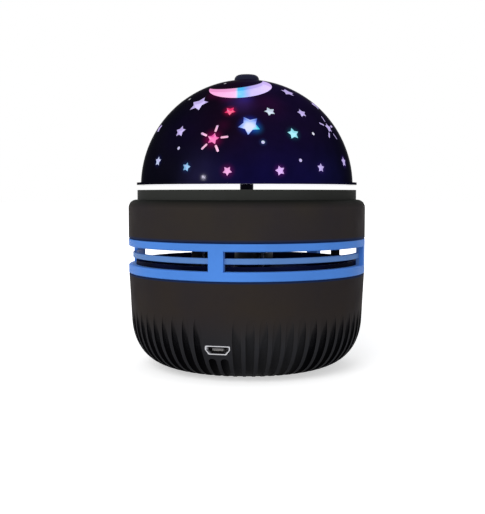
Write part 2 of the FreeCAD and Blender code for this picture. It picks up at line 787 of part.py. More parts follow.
def motor_body():
    can_bottom = ring_bottom + motor_clear
    can = rod(motor_radius, can_bottom, housing_bottom - motor_flange, motor_centre)
    rim = [edge for edge in can.Edges if edge.Closed and edge.CenterOfMass.z < can_bottom + near_level]
    can = can.makeFillet(motor_round, rim)
    flange_bottom = housing_bottom - motor_flange
    pieces = [can, rod(motor_nose_radius, flange_bottom, gear_floor, motor_centre)]
    bar = block((2 * motor_ear_reach, 2 * motor_ear_radius, motor_flange), motor_centre.x, motor_centre.y,
                flange_bottom)
    pieces.append(bar)
    pieces.append(rod(motor_radius, flange_bottom, housing_bottom, motor_centre))
    for side in (-1, 1):
        pieces.append(rod(motor_ear_radius, flange_bottom, housing_bottom,
                          motor_centre + Vector(side * motor_ear_reach, 0, 0)))
    front = motor_centre.y - motor_radius - terminal_size[1]
    left = motor_centre.x + terminal_shift - terminal_size[0] / 2
    pieces.append(Part.makeBox(terminal_size[0], terminal_size[1] + overcut, terminal_size[2],
                               Vector(left, front, terminal_bottom)))
    body = joined(pieces)
    cuts = [rod(pin_radius + shaft_fit, gear_floor - motor_bore_depth, gear_floor, motor_centre)]
    for side in (-1, 1):
        cuts.append(rod(screw_hole_radius, flange_bottom, housing_bottom,
                        motor_centre + Vector(side * motor_ear_reach, 0, 0)))
    return body.cut(cuts)


def motor_screws():
    seat = housing_bottom - motor_flange
    tip = gear_floor - blind_skin
    return [screw(motor_centre + Vector(side * motor_ear_reach, 0, 0), seat, tip) for side in (-1, 1)]


def motor_shaft():
    bottom = gear_floor - motor_bore_depth + end_play
    return rod(pin_radius, bottom, tier_bottoms[0] + wheel_thickness + gear_step / 2, motor_centre)


# ---------------------------------------------------------------- gears
def involute(angle):
    return math.tan(angle) - angle


def gear_face(teeth, shift, turn, centre):
    """The outline of a spur gear with one tooth on the direction turn, in radians from +X."""
    pitch_radius = gear_module * teeth / 2
    base_radius = pitch_radius * math.cos(pressure_angle)
    tip_radius = pitch_radius + gear_module * (1 + shift)
    root_radius = pitch_radius - gear_module * (dedendum - shift)
    start_radius = max(base_radius, root_radius)
    thickness = gear_module * (math.pi / 2 + 2 * shift * math.tan(pressure_angle)) - backlash / 2
    half_pitch = thickness / (2 * pitch_radius) + involute(pressure_angle)

    def spot(radius, angle):
        return centre + Vector(radius * math.cos(angle), radius * math.sin(angle), 0)

    def half_angle(radius):
        return half_pitch - involute(math.acos(min(1.0, base_radius / radius)))

    middle_radius = (start_radius + tip_radius) / 2
    edges = []
    for tooth in range(teeth):
        axis = turn + 2 * math.pi * tooth / teeth
        space = axis + math.pi / teeth
        following = axis + 2 * math.pi / teeth
        foot = half_angle(start_radius)
        waist = half_angle(middle_radius)
        tip = half_angle(tip_radius)
        edges.append(Part.Arc(spot(start_radius, axis - foot), spot(middle_radius, axis - waist),
                              spot(tip_radius, axis - tip)).toShape())
        edges.append(Part.makeLine(spot(tip_radius, axis - tip), spot(tip_radius, axis + tip)))
        edges.append(Part.Arc(spot(tip_radius, axis + tip), spot(middle_radius, axis + waist),
                              spot(start_radius, axis + foot)).toShape())
        edges.append(Part.makeLine(spot(start_radius, axis + foot), spot(root_radius, axis + foot)))
        edges.append(Part.Arc(spot(root_radius, axis + foot), spot(root_radius, space),
                              spot(root_radius, following - foot)).toShape())
        edges.append(Part.makeLine(spot(root_radius, following - foot), spot(start_radius, following - foot)))
    return Part.Face(Part.Wire(edges))


def pinion(turn, centre, bottom, top):
    face = gear_face(pinion_teeth, addendum_shift, turn, centre)
    face.translate(Vector(0, 0, bottom))
    return face.extrude(Vector(0, 0, top - bottom))


def wheel(turn, centre, bottom):
    face = gear_face(wheel_teeth, -addendum_shift, turn, centre)
    face.translate(Vector(0, 0, bottom))
    disc = face.extrude(Vector(0, 0, wheel_thickness))
    sink_bottom = bottom + wheel_thickness - web_sink
    rim_inside = gear_module * (wheel_teeth / 2 - web_depth)
    return disc.cut(tube(rim_inside, web_land, sink_bottom, bottom + wheel_thickness, centre))


def heading(start, end):
    return math.atan2(end.y - start.y, end.x - start.x)


def drive_pinion():
    teeth = pinion(heading(motor_centre, first_centre), motor_centre, tier_bottoms[0],
                   tier_bottoms[0] + wheel_thickness)
    return teeth.cut(rod(pin_radius, tier_bottoms[0], tier_bottoms[0] + wheel_thickness, motor_centre))


def compound_gear(tier, centre, driver, driven):
    """A wheel on one tier with a pinion on the next, on a fixed pin."""
    bottom = tier_bottoms[tier]
    half_tooth = math.pi / wheel_teeth
    pieces = [wheel(heading(centre, driver) + half_tooth, centre, bottom)]
    pinion_top = tier_bottoms[tier + 1] + wheel_thickness
    pieces.append(pinion(heading(centre, driven), centre, bottom + wheel_thickness / 2, pinion_top))
    if tier > 0:
        pieces.append(rod(hub_radius, gear_floor + gear_step, bottom + wheel_thickness / 2, centre))
    bore = rod(pin_radius + shaft_fit, gear_floor, pinion_top, centre)
    return joined(pieces).cut(bore)


def first_gear():
    return compound_gear(0, first_centre, motor_centre, second_centre)


def second_gear():
    return compound_gear(1, second_centre, first_centre, ORIGIN)


def output_gear():
    bottom = tier_bottoms[2]
    half_tooth = math.pi / wheel_teeth
    teeth = wheel(heading(ORIGIN, second_centre) + half_tooth, ORIGIN, bottom)
    return teeth.cut(rod(seat_radius, bottom, bottom + wheel_thickness))


def gear_pins():
    """Fixed pins with a thrust collar under each compound gear."""
    pins = []
    for centre in (first_centre, second_centre):
        pin = rod(pin_radius, housing_bottom + pin_skin, gear_plate_top - end_play, centre)
        collar = rod(pin_radius + thrust_step, gear_floor, gear_floor + gear_step - shaft_fit, centre)
        pins.append(joined([pin, collar]))
    return pins


def gear_plate():
    corners = [Vector(x, y, gear_plate_bottom) for x, y in gear_plate_posts]
    outline = Part.makePolygon(corners + corners[:1]).makeOffset2D(gear_plate_margin)
    slab = Part.Face(outline).extrude(Vector(0, 0, gear_plate_thickness))
    cuts = [rod(stem_radius + shaft_fit, gear_plate_bottom, gear_plate_top)]
    for centre in (first_centre, second_centre):
        cuts.append(rod(pin_radius, gear_plate_bottom, gear_plate_top - end_play, centre))
    for x, y in gear_plate_posts:
        cuts.append(rod(screw_hole_radius, gear_plate_bottom, gear_plate_top, Vector(x, y, 0)))
    return slab.cut(cuts)


def plate_screws():
    return [screw(Vector(x, y, 0), gear_plate_top, gear_plate_bottom - thread_bite + tip_gap)
            for x, y in gear_plate_posts]


# ---------------------------------------------------------------- lamp deck
def lamp_deck():
    skirt = mouth_radius - deck_gap
    inside = skirt - spigot_wall
    under = deck_top - plate
    foot = collar_bottom - deck_spigot_depth
    deck = turned([
        (0, deck_top), (collar_radius, deck_top), (collar_radius, collar_bottom), (skirt, collar_bottom),
        (skirt, foot), (inside, foot), (inside, under), (0, under),
    ])
    pieces = [deck]
    for bearing in deck_screw_bearings:
        pieces.append(rod(lamp_post_radius, lamp_board_top, under + plate / 2, at(lamp_screw_circle, bearing)))
    bush_radius = stem_radius + shaft_fit + bush_wall
    pieces.append(rod(bush_radius + bush_wall, under - bush_drop, under + plate / 2))
    deck = joined(pieces)
    cuts = [tube(window_outer, window_inner, deck_top - window_thickness, deck_top)]
    cuts.append(rod(bush_radius, under - bush_drop, deck_top))
    for index in range(lamp_count):
        centre = at(lamp_circle, index * 360 / lamp_count)
        cuts.append(rod(lamp_hole_radius, under - overcut, deck_top, centre))
    for bearing in deck_screw_bearings:
        centre = at(deck_screw_circle, bearing)
        cuts.append(rod(screw_hole_radius, under, deck_top, centre))
        cuts.append(Part.makeCone(screw_radius, head_radius + screw_clear, head_height,
                                  Vector(centre.x, centre.y, deck_top - head_height)))
        cuts.append(rod(screw_radius, lamp_board_top, deck_top - window_thickness - blind_skin,
                        at(lamp_screw_circle, bearing)))
    return deck.cut(cuts)


def light_window():
    bottom = deck_top - window_thickness
    return tube(window_outer - window_gap, window_inner + window_gap, bottom, deck_top)


def deck_screws():
    screws = []
    for bearing in deck_screw_bearings:
        centre = at(deck_screw_circle, bearing)
        head = Part.makeCone(screw_radius, head_radius, head_height,
                             Vector(centre.x, centre.y, deck_top - head_height))
        shank = rod(screw_radius, deck_top - plate - thread_bite + tip_gap, deck_top - head_height, centre)
        screws.append(joined([head, shank]))
    return screws


def lamp_board():
    board = tube(lamp_board_radius, lamp_board_bore, lamp_board_bottom, lamp_board_top)
    holes = [rod(screw_hole_radius, lamp_board_bottom, lamp_board_top, at(lamp_screw_circle, bearing))
             for bearing in deck_screw_bearings]
    return board.cut(holes)


def lamp_screws():
    return [screw(at(lamp_screw_circle, bearing), lamp_board_bottom, deck_top - window_thickness - blind_skin)
            for bearing in deck_screw_bearings]


def lamps():
    """Surface-mounted lamps: a square body with a low round lens."""
    bodies = []
    for index in range(lamp_count):
        bearing = index * 360 / lamp_count
        body = block((lamp_size, lamp_size, lamp_body_height), 0, -lamp_circle, lamp_board_top)
        lens_bottom = lamp_board_top + lamp_body_height
        lens = rod(lamp_lens_radius, lens_bottom, lens_bottom + lamp_lens_height, Vector(0, -lamp_circle, 0))
        whole = joined([body, lens])
        whole.rotate(ORIGIN, UP, bearing)
        bodies.append(whole)
    return bodies


# ---------------------------------------------------------------- stem, bushes and cap
def lower_bush():
    bore = journal_radius + shaft_fit
    sleeve = tube(bore + bush_wall, bore, housing_bottom, gear_floor)
    flange = tube(bush_flange_radius, bore, gear_floor, gear_floor + bush_flange)
    return joined([sleeve, flange])


def upper_bush():
    bore = stem_radius + shaft_fit
    return tube(bore + bush_wall, bore, deck_top - plate - bush_drop, deck_top)


def stem():
    bush_top = gear_floor + bush_flange
    gear_bottom = tier_bottoms[2]
    gear_top = gear_bottom + wheel_thickness
    foot = housing_bottom + end_play
    thrust = bush_top + shaft_fit
    flange_bottom = lens_seat - stem_flange_thickness
    tip = cap_seat + cap_thread_depth
    return turned([
        (0, foot), (journal_radius, foot), (journal_radius, thrust), (seat_radius, thrust),
        (seat_radius, gear_top), (stem_radius, gear_top), (stem_radius, flange_bottom),
        (stem_flange_radius, flange_bottom), (stem_flange_radius, lens_seat), (journal_radius, lens_seat),
        (journal_radius, tip), (0, tip),
    ])


def cap_knob():
    edges = [
        line((0, cap_seat), (cap_radius, cap_seat)),
        line((cap_radius, cap_seat), (cap_radius, cap_seat + cap_height - cap_round)),
        corner_arc((cap_radius - cap_round, cap_seat + cap_height - cap_round), cap_round, 0, 90),
        line((cap_radius - cap_round, cap_seat + cap_height), (0, cap_seat + cap_height)),
        line((0, cap_seat + cap_height), (0, cap_seat)),
    ]
    return turned_edges(edges).cut(rod(journal_radius, cap_seat, cap_seat + cap_thread_depth))


# ---------------------------------------------------------------- dome
def dome_spot(bearing, height):
    """Outward direction, and the upward one in the dome's face, at a place on it."""
    turn = math.radians(bearing)
    lift = math.radians(height)
    outward = Vector(math.cos(lift) * math.sin(turn), -math.cos(lift) * math.cos(turn), math.sin(lift))
    upward = Vector(-math.sin(lift) * math.sin(turn), math.sin(lift) * math.cos(turn), math.cos(lift))
    return outward, upward


def dome_cutter(flat_wire, reach, bearing, height):
    """A cutter through the dome's wall from a wire drawn round the origin in the XY plane, +Y being up.

    Reach is how far the wire goes from its origin: the wall falls away behind a wide motif.
    """
    outward, upward = dome_spot(bearing, height)
    right = upward.cross(outward)
    near = math.sqrt((dome_radius - dome_wall) ** 2 - reach ** 2) - cutter_margin
    depth = dome_radius + cutter_margin - near
    start = Vector(0, 0, dome_centre) + outward * near
    placing = FreeCAD.Matrix(
        right.x, upward.x, outward.x, start.x,
        right.y, upward.y, outward.y, start.y,
        right.z, upward.z, outward.z, start.z,
        0, 0, 0, 1)
    prism = Part.Face(flat_wire).extrude(Vector(0, 0, depth))
    prism.Placement = FreeCAD.Placement(placing)
    return prism


def star_wire(radius, turn):
    points = []
    for corner in range(10):
        reach = radius if corner % 2 == 0 else radius * star_waist
        angle = math.radians(90 + turn + 36 * corner)
        points.append(Vector(reach * math.cos(angle), reach * math.sin(angle), 0))
    return Part.makePolygon(points + points[:1])


def ray_wires(radius, turn):
    wires = []
    for ray in range(5):
        angle = math.radians(90 + turn + 72 * ray)
        along = Vector(math.cos(angle), math.sin(angle), 0)
        across = Vector(-along.y, along.x, 0) * (ray_width / 2)
        inner = along * (radius * ray_start + ray_width / 2)
        outer = along * (radius * ray_end - ray_width / 2)
        back = inner - along * (ray_width / 2)
        front = outer + along * (ray_width / 2)
        wires.append(Part.Wire([
            Part.makeLine(inner + across, outer + across),
            Part.Arc(outer + across, front, outer - across).toShape(),
            Part.makeLine(outer - across, inner - across),
            Part.Arc(inner - across, back, inner + across).toShape(),
        ]))
    return wires


def moon_wire():
    """A crescent that opens upwards: one round outline bitten by another."""
    disc = Part.Face(Part.Wire(Part.Circle(ORIGIN, UP, moon_radius).toShape()))
    bite = Part.Face(Part.Wire(Part.Circle(Vector(*moon_bite_shift, 0), UP, moon_bite_radius).toShape()))
    return disc.cut(bite).Faces[0].OuterWire


def dome_cutters():
    cutters = [dome_cutter(moon_wire(), moon_radius, *moon_place)]
    for bearing, height, radius, turn in stars:
        cutters.append(dome_cutter(star_wire(radius, turn), radius, bearing, height))
    for bearing, height, radius, turn in rayed_stars:
        for wire in [star_wire(radius, turn)] + ray_wires(radius, turn):
            cutters.append(dome_cutter(wire, radius * ray_end, bearing, height))
    for bearing, height in dots:
        wire = Part.Wire(Part.Circle(ORIGIN, UP, dot_radius).toShape())
        cutters.append(dome_cutter(wire, dot_radius, bearing, height))
    return cutters


def ball_cap(radius):
    """What a ball about the dome's centre has above the dome's rim."""
    rim_lift = math.asin(dome_sink / radius)
    edges = [
        line((0, dome_bottom), (radius * math.cos(rim_lift), dome_bottom)),
        corner_arc((0, dome_centre), radius, math.degrees(rim_lift), 90),
        line((0, dome_centre + radius), (0, dome_bottom)),
    ]
    return turned_edges(edges)


def star_dome():
    rim = rod(rim_radius, dome_bottom, dome_bottom + rim_thickness)
    above_seat = rod(cap_radius + crown_flat, cap_seat, cap_seat + overcut)
    bore = rod(journal_radius + screw_clear, lens_seat, cap_seat + overcut)
    shell = joined([ball_cap(dome_radius), rim]).cut([ball_cap(dome_radius - dome_wall), above_seat, bore])
    return shell.cut(dome_cutters())


def dome_lens():
    shell = ball_cap(lens_radius).cut(ball_cap(lens_bore))
    pad = rod(stem_flange_radius + pad_margin, lens_seat, dome_centre + lens_bore + lens_wall / 2)
    bore = rod(journal_radius + screw_clear, lens_seat, cap_seat)
    return joined([shell, pad]).cut(bore)


# ---------------------------------------------------------------- leads
def lead(points):
    """A round lead along straight runs joined by tangent arcs."""
    edges = []
    start = points[0]
    for index in range(1, len(points) - 1):
        corner = points[index]
        back = points[index - 1] - corner
        ahead = points[index + 1] - corner
        enter = corner + back.normalize() * lead_bend
        leave = corner + ahead.normalize() * lead_bend
        half = back.getAngle(ahead) / 2
        peak = corner + (back + ahead).normalize() * (lead_bend / math.cos(half) - lead_bend * math.tan(half))
        edges.append(Part.makeLine(start, enter))
        edges.append(Part.Arc(enter, peak, leave).toShape())
        start = leave
    edges.append(Part.makeLine(start, points[-1]))
    path = Part.Wire(edges)
    section = Part.Wire(Part.Circle(points[0], UP, lead_radius).toShape())
    return path.makePipeShell([section], True, False)


def lead_pair(first_x, place, turns, top):
    """Two leads from the header up, across by way of any turns, and up again through their hole.

    They rise side by side and cross one above the other.
    """
    stops = turns + [place]
    step = (lead_cross - lead_rise) / len(stops)
    pair = []
    for side in (-0.5, 0.5):
        shift = side * lead_pitch
        points = [Vector(first_x + shift, header_y, board_top + header_size[2])]
        points.append(Vector(first_x + shift, header_y, lead_rise + shift))
        for index, (x, y) in enumerate(stops):
            points.append(Vector(x + shift, y, lead_rise + shift + step * (index + 1)))
        points.append(Vector(place[0] + shift, place[1], top))
        pair.append(lead(points))
    return pair


def motor_leads():
    return lead_pair(motor_lead_pin, motor_lead_place, [], terminal_bottom)


def lamp_leads():
    turn = (lamp_lead_place[0], lamp_lead_turn)
    return lead_pair(lamp_lead_pin, lamp_lead_place, [turn], lamp_board_bottom)


# ---------------------------------------------------------------- export
PIECES = (
    grip_pad, base_shell, base_screws, base_lid,
    main_board, board_screws, driver_chip, filter_capacitor, lead_header,
    usb_socket, usb_tongue, usb_contacts,
    vent_ring, spacer_posts, frame_screws, upper_housing,
    motor_body, motor_screws, motor_shaft, drive_pinion,
    first_gear, second_gear, gear_pins, gear_plate, plate_screws, output_gear,
    lower_bush, stem, upper_bush,
    lamp_deck, light_window, deck_screws, lamp_board, lamp_screws, lamps,
    star_dome, dome_lens, cap_knob,
    motor_leads, lamp_leads,
)

os.makedirs("parts", exist_ok=True)
for piece in PIECES:
    shape = piece()
    if isinstance(shape, list):
        shape = Part.makeCompound(shape)
    shape.exportStep(f"parts/{piece.__name__}.step")
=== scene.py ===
"""Looks of the star projector night light: materials, light, floor and camera round the CAD frame.

Metres, in the CAD frame: +Z up, -Y towards the USB port. Bearings are degrees round the lamp's axis, from the
port's side towards +X. Lifts are degrees above the horizontal; on the dome, above the equator of its ball.
"""
import json
import math

import bmesh
import bpy
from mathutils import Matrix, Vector


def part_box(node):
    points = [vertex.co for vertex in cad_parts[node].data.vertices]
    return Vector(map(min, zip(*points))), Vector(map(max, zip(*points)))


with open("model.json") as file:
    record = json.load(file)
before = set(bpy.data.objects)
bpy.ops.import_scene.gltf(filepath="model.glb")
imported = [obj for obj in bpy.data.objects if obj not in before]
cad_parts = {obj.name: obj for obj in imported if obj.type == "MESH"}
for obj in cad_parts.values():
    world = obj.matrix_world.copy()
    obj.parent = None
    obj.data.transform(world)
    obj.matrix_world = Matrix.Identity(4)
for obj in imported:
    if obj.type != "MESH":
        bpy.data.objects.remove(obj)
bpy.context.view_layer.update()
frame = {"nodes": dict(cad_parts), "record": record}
scene = bpy.context.scene
scene.view_settings.view_transform = "Standard"

MM = 0.001
BLACK = (0, 0, 0, 1)
WHITE = (1, 1, 1, 1)
VIEW_BEARING = 13.5                     # of the camera, and of the middle of the painted coloured glow on the dome

# ---------------------------------------------------------------- sizes that the finishes follow
RING_WALL = 2.6 * MM                    # thickness of the vent ring
RIB_INSET = 1.6 * MM                    # of the vent ring's rib inside its face
RING_LIP = 1.2 * MM                     # height of the vent ring's lip, which the housing hides
COLLAR_HEIGHT = 3.6 * MM                # of the lamp deck's collar above the housing's shoulder
DOME_SINK = 0.6 * MM                    # of the ball's centre below the dome's lower edge
RIM_LIP = 1.5 * MM                      # from the ball's face out to the dome's rim
RIM_THICKNESS = 0.9 * MM                # of the dome's rim
CUT_DEPTH = 0.07 * MM                   # below the dome's face, from where a cut-out's wall glows
LAMP_LENS_HEIGHT = 0.3 * MM             # of a lamp's lens above its body
LAMP_LEADS_MIDDLE = -19.0 * MM          # X midway between the lamp board's two leads
MOTOR_LEADS_MIDDLE = 5.0 * MM           # X midway between the motor's two leads
EDGE_RADIUS = 0.35 * MM                 # how far from an edge plastic is lighter, from scuffing and painted highlight

RING_LOW, RING_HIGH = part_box("vent_ring")
RIB_FACE = RING_HIGH[0] - RIB_INSET
RING_INSIDE = RING_HIGH[0] - RING_WALL
RING_BOTTOM = RING_LOW[2]
RING_TOP = RING_HIGH[2] - RING_LIP
BASE_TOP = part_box("base_shell")[1][2]
LID_RADIUS = -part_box("base_lid")[0][1]
HOUSING_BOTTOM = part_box("upper_housing")[0][2]
SHOULDER_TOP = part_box("lamp_deck")[1][2] - COLLAR_HEIGHT
SOCKET_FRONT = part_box("usb_socket")[0][1]
LAMP_BODY_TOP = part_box("lamps")[1][2] - LAMP_LENS_HEIGHT
LENS_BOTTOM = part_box("dome_lens")[0][2]
DOME_LOW, DOME_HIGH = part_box("star_dome")
DOME_RIM_TOP = DOME_LOW[2] + RIM_THICKNESS
DOME_CENTRE = Vector((0, 0, DOME_LOW[2] - DOME_SINK))
DOME_RADIUS = DOME_HIGH[0] - RIM_LIP


# ---------------------------------------------------------------- colours and places
def srgb(red, green, blue):
    """A linear colour from 0-255 display values."""
    linear = []
    for value in (red, green, blue):
        share = value / 255
        linear.append(share / 12.92 if share <= 0.04045 else ((share + 0.055) / 1.055) ** 2.4)
    return (*linear, 1.0)


def scaled(colour, factor, step=0.0):
    """A colour made lighter or darker by a factor and a step."""
    channels = [min(1.0, channel * factor + step) for channel in colour[:3]]
    return (*channels, 1.0)


def direction(bearing, lift=0.0):
    """A unit vector from the lamp's axis."""
    turn = math.radians(bearing)
    flat = math.cos(math.radians(lift))
    return Vector((flat * math.sin(turn), -flat * math.cos(turn), math.sin(math.radians(lift))))


def dome_point(bearing, lift):
    """A place on the outside of the dome."""
    return DOME_CENTRE + DOME_RADIUS * direction(bearing, lift)


# ---------------------------------------------------------------- node trees
class Nodes:
    """A node tree, built by the names of its nodes."""

    def __init__(self, tree):
        self.tree = tree
        tree.nodes.clear()

    def put(self, socket, value):
        """Links a socket to an input, or sets the input to a plain value."""
        if isinstance(value, bpy.types.NodeSocket):
            self.tree.links.new(value, socket)
        else:
            socket.default_value = value

    def add(self, kind, inputs=None, **settings):
        """A new node. Its inputs are given by name or by number."""
        node = self.tree.nodes.new("ShaderNode" + kind)
        for name, value in settings.items():
            setattr(node, name, value)
        for name, value in (inputs or {}).items():
            self.put(node.inputs[name], value)
        return node

    def maths(self, operation, first, second=0.0):
        """What an operation on numbers gives."""
        return self.add("Math", {0: first, 1: second}, operation=operation).outputs[0]

    def vectors(self, operation, first, second=(0, 0, 0), output="Value"):
        """What an operation on vectors gives: a number, or with output Vector another vector."""
        return self.add("VectorMath", {0: first, 1: second}, operation=operation).outputs[output]

    def seen(self):
        """1 for what the camera, reflections and glass see, 0 for the light that falls on the object."""
        path = self.add("LightPath").outputs
        total = path["Is Camera Ray"]
        for ray in ("Is Glossy Ray", "Is Transmission Ray"):
            total = self.maths("MAXIMUM", total, path[ray])
        return total


class Surface(Nodes):
    """A material with a Principled shader, patterned by the place on the piece."""

    def __init__(self, name):
        self.material = bpy.data.materials.new(name)
        self.material.use_nodes = True
        super().__init__(self.material.node_tree)
        self.output = self.add("OutputMaterial")
        self.shader = self.add("BsdfPrincipled")
        self.put(self.output.inputs["Surface"], self.shader.outputs[0])
        self.place = self.add("TexCoord").outputs["Object"]

    # places on the piece, in metres
    def coordinate(self, axis):
        """One of the coordinates X, Y and Z."""
        return self.add("SeparateXYZ", {"Vector": self.place}).outputs[axis]

    def radius(self):
        """Distance from the lamp's axis."""
        return self.vectors("LENGTH", self.vectors("MULTIPLY", self.place, (1, 1, 0), "Vector"))

    def along(self, bearing):
        """Distance from the lamp's axis towards a bearing."""
        return self.vectors("DOT_PRODUCT", self.place, direction(bearing))

    def sideways(self):
        """Distance to the right of the lamp's axis, seen from the camera's side."""
        return self.along(VIEW_BEARING + 90)

    # shares from 0 to 1
    def ramp(self, value, low, high, out_low=0.0, out_high=1.0, smooth=False):
        """A value brought from one range to another, and held at its ends."""
        shape = "SMOOTHSTEP" if smooth else "LINEAR"
        limits = {"From Min": low, "From Max": high, "To Min": out_low, "To Max": out_high}
        return self.add("MapRange", {"Value": value, **limits}, interpolation_type=shape).outputs["Result"]

    def noise(self, scale, detail=2.0, roughness=0.5, place=None):
        """Uneven shares, most of them from 0.3 to 0.7. The scale is in patches to the metre."""
        inputs = {"Vector": place or self.place, "Scale": scale, "Detail": detail, "Roughness": roughness}
        return self.add("TexNoise", inputs).outputs["Fac"]

    def varied(self, scale, detail, low=0.0, high=1.0):
        """Noise that spreads between two values."""
        return self.ramp(self.noise(scale, detail), 0.3, 0.7, low, high)

    def near(self, point, inner, outer):
        """1 within the inner distance of a point, 0 beyond the outer one."""
        return self.ramp(self.vectors("DISTANCE", self.place, point), inner, outer, 1.0, 0.0, smooth=True)

    def inside_ring(self):
        """1 inside the vent ring's wall, 0 from within the wall outwards."""
        return self.ramp(self.radius(), RING_INSIDE + 0.1 * MM, RING_INSIDE + 0.6 * MM, 1.0, 0.0)

    def edge_wear_and_highlight(self, low, high):
        """0 on faces; on sharp edges from low to high, unevenly: scuffing and painted highlight."""
        rounded = self.add("Bevel", {"Radius": EDGE_RADIUS}, samples=6).outputs[0]
        agreement = self.vectors("DOT_PRODUCT", rounded, self.add("NewGeometry").outputs["Normal"])
        edge = self.ramp(agreement, 0.995, 0.86)
        return self.maths("MULTIPLY", edge, self.ramp(self.noise(300.0, 2.0), 0.4, 0.65, low, high))

    # colours and relief
    def mix(self, factor, first, second, blend="MIX"):
        """Two colours mixed by a factor."""
        node = self.add("Mix", {0: factor, 6: first, 7: second}, data_type="RGBA", blend_type=blend)
        return node.outputs[2]

    def mottled(self, scale, first, second):
        """A colour that shifts slowly between two."""
        return self.mix(self.ramp(self.noise(scale, 3.0), 0.35, 0.65), first, second)

    def toned(self, scale, colour, spread):
        """A colour that shifts slowly between a darker and a lighter tone."""
        return self.mottled(scale, scaled(colour, 1 - spread), scaled(colour, 1 + spread))

    def bump(self, height, distance, **under):
        """Relief of a depth in metres. Another relief may lie under it as Normal."""
        return self.add("Bump", {"Height": height, "Distance": distance, **under}).outputs[0]

    def finish(self, **inputs):
        """Feeds the shader; underscores in the names stand for spaces."""
        for name, value in inputs.items():
            self.put(self.shader.inputs[name.replace("_", " ")], value)
        return self.material


# ---------------------------------------------------------------- plastics
SEAM_SHADE_NAVY = srgb(27, 42, 76)            # painted shade, tinted navy by light from the blue ring, on the charcoal beside the ring's seams
# lighter charcoal of the sharp edges, scuffed and with painted highlight
EDGE_CHARCOAL = srgb(70, 68, 66)
MATT = 0.01                             # specular level of the matt plastics


def plastic(t, body, edge_wear_and_highlight, edge_colour, gloss, specular=MATT, grain=2600.0, depth=0.025, **more):
    """Ends a plastic's tree: lighter sharp edges, scuffed and with painted highlight, uneven gloss and fine
    spark-eroded grain.

    gloss is the least and the most roughness, and depth is that of the grain in mm.
    """
    return t.finish(
        Base_Color=t.mix(edge_wear_and_highlight, body, edge_colour),
        Roughness=t.varied(120.0, 4.0, *gloss),
        Normal=t.bump(t.noise(grain, 2.0), depth * MM),
        Specular_IOR_Level=specular,
        **more,
    )


def moulded(name, colour, roughness, specular=0.3, edge_most=0.35, patch=45.0, spread=0.14, **texture):
    """Plastic of one colour, which shifts slowly in tone."""
    t = Surface(name)
    body = t.toned(patch, colour, spread)
    # lighter colour of the sharp edges, scuffed and with painted highlight
    edge_colour = scaled(colour, 1.5, 0.012)
    gloss = (roughness - 0.07, roughness + 0.07)
    return plastic(t, body, t.edge_wear_and_highlight(0.15, edge_most), edge_colour, gloss, specular, **texture)


def turned_to_middle(t):
    """How far the surface turns towards the middle of the front or back: 0 straight out, 1 at 90 degrees."""
    across = t.vectors("CROSS_PRODUCT", t.place, t.add("NewGeometry").outputs["Normal"], "Vector")
    turn = t.maths("DIVIDE", t.add("SeparateXYZ", {"Vector": across}).outputs["Z"], t.radius())
    return t.maths("MULTIPLY", turn, t.ramp(t.sideways(), -8 * MM, 8 * MM, 1.0, -1.0))


def fluted_plastic():
    """The base's charcoal with painted shade: cooler low down, near black in the grooves, and navy at its top
    edge under the ring.

    Near a groove's top the painted shade lies only on its outer wall, so that it starts in a tip. The inner
    wall, which is nearer the middle of the front or back, stays pale there. A few grooves at the front have
    a paler painted shade, as if lit there.
    """
    lit_grooves_middle = 22                    # bearing of the middle of a few grooves whose painted shade is paler, as if lit there
    pale_within = math.cos(math.radians(14))
    dark_beyond = math.cos(math.radians(22))
    groove_reach = 3.2 * MM             # just over a groove's width
    t = Surface("fluted_plastic")
    height = t.coordinate("Z")
    warm = t.mottled(34.0, srgb(46, 42, 44), srgb(51, 45, 41))
    # painted shade: the base takes a cooler tone low down
    shaded_low = t.toned(30.0, srgb(44, 44, 47), 0.14)
    body = t.mix(t.ramp(height, 12 * MM, 26 * MM, smooth=True), shaded_low, warm)

    # painted shade in the grooves, where little of the open air is seen
    around = t.add("AmbientOcclusion", {"Distance": groove_reach}, samples=14, only_local=True)
    open_share = t.ramp(around.outputs["AO"], 0.93, 0.999)
    shade_start = t.ramp(height, 5 * MM, 20 * MM, -0.7, 0.14)   # turn beyond which a groove gets painted shade
    past_start = t.maths("SUBTRACT", turned_to_middle(t), shade_start)
    inner_wall = t.ramp(past_start, -0.12, 0.06, 1.0, 0.0)
    lit = t.maths("MAXIMUM", open_share, inner_wall)
    facing = t.maths("DIVIDE", t.along(lit_grooves_middle), t.radius())
    # colour of the painted groove shade: paler in the few grooves at the front, as if lit
    shade = t.mix(t.ramp(facing, dark_beyond, pale_within, smooth=True), srgb(6, 6, 8), srgb(34, 34, 36))
    body = t.mix(lit, shade, body)

    # painted navy shade at the base's top edge, under the ring
    body = t.mix(t.ramp(height, BASE_TOP - 0.75 * MM, BASE_TOP - 0.35 * MM), body, SEAM_SHADE_NAVY)
    edge_wear_and_highlight = t.maths("MULTIPLY", t.edge_wear_and_highlight(0.1, 0.3), lit)
    return plastic(t, body, edge_wear_and_highlight, EDGE_CHARCOAL, (0.55, 0.7))


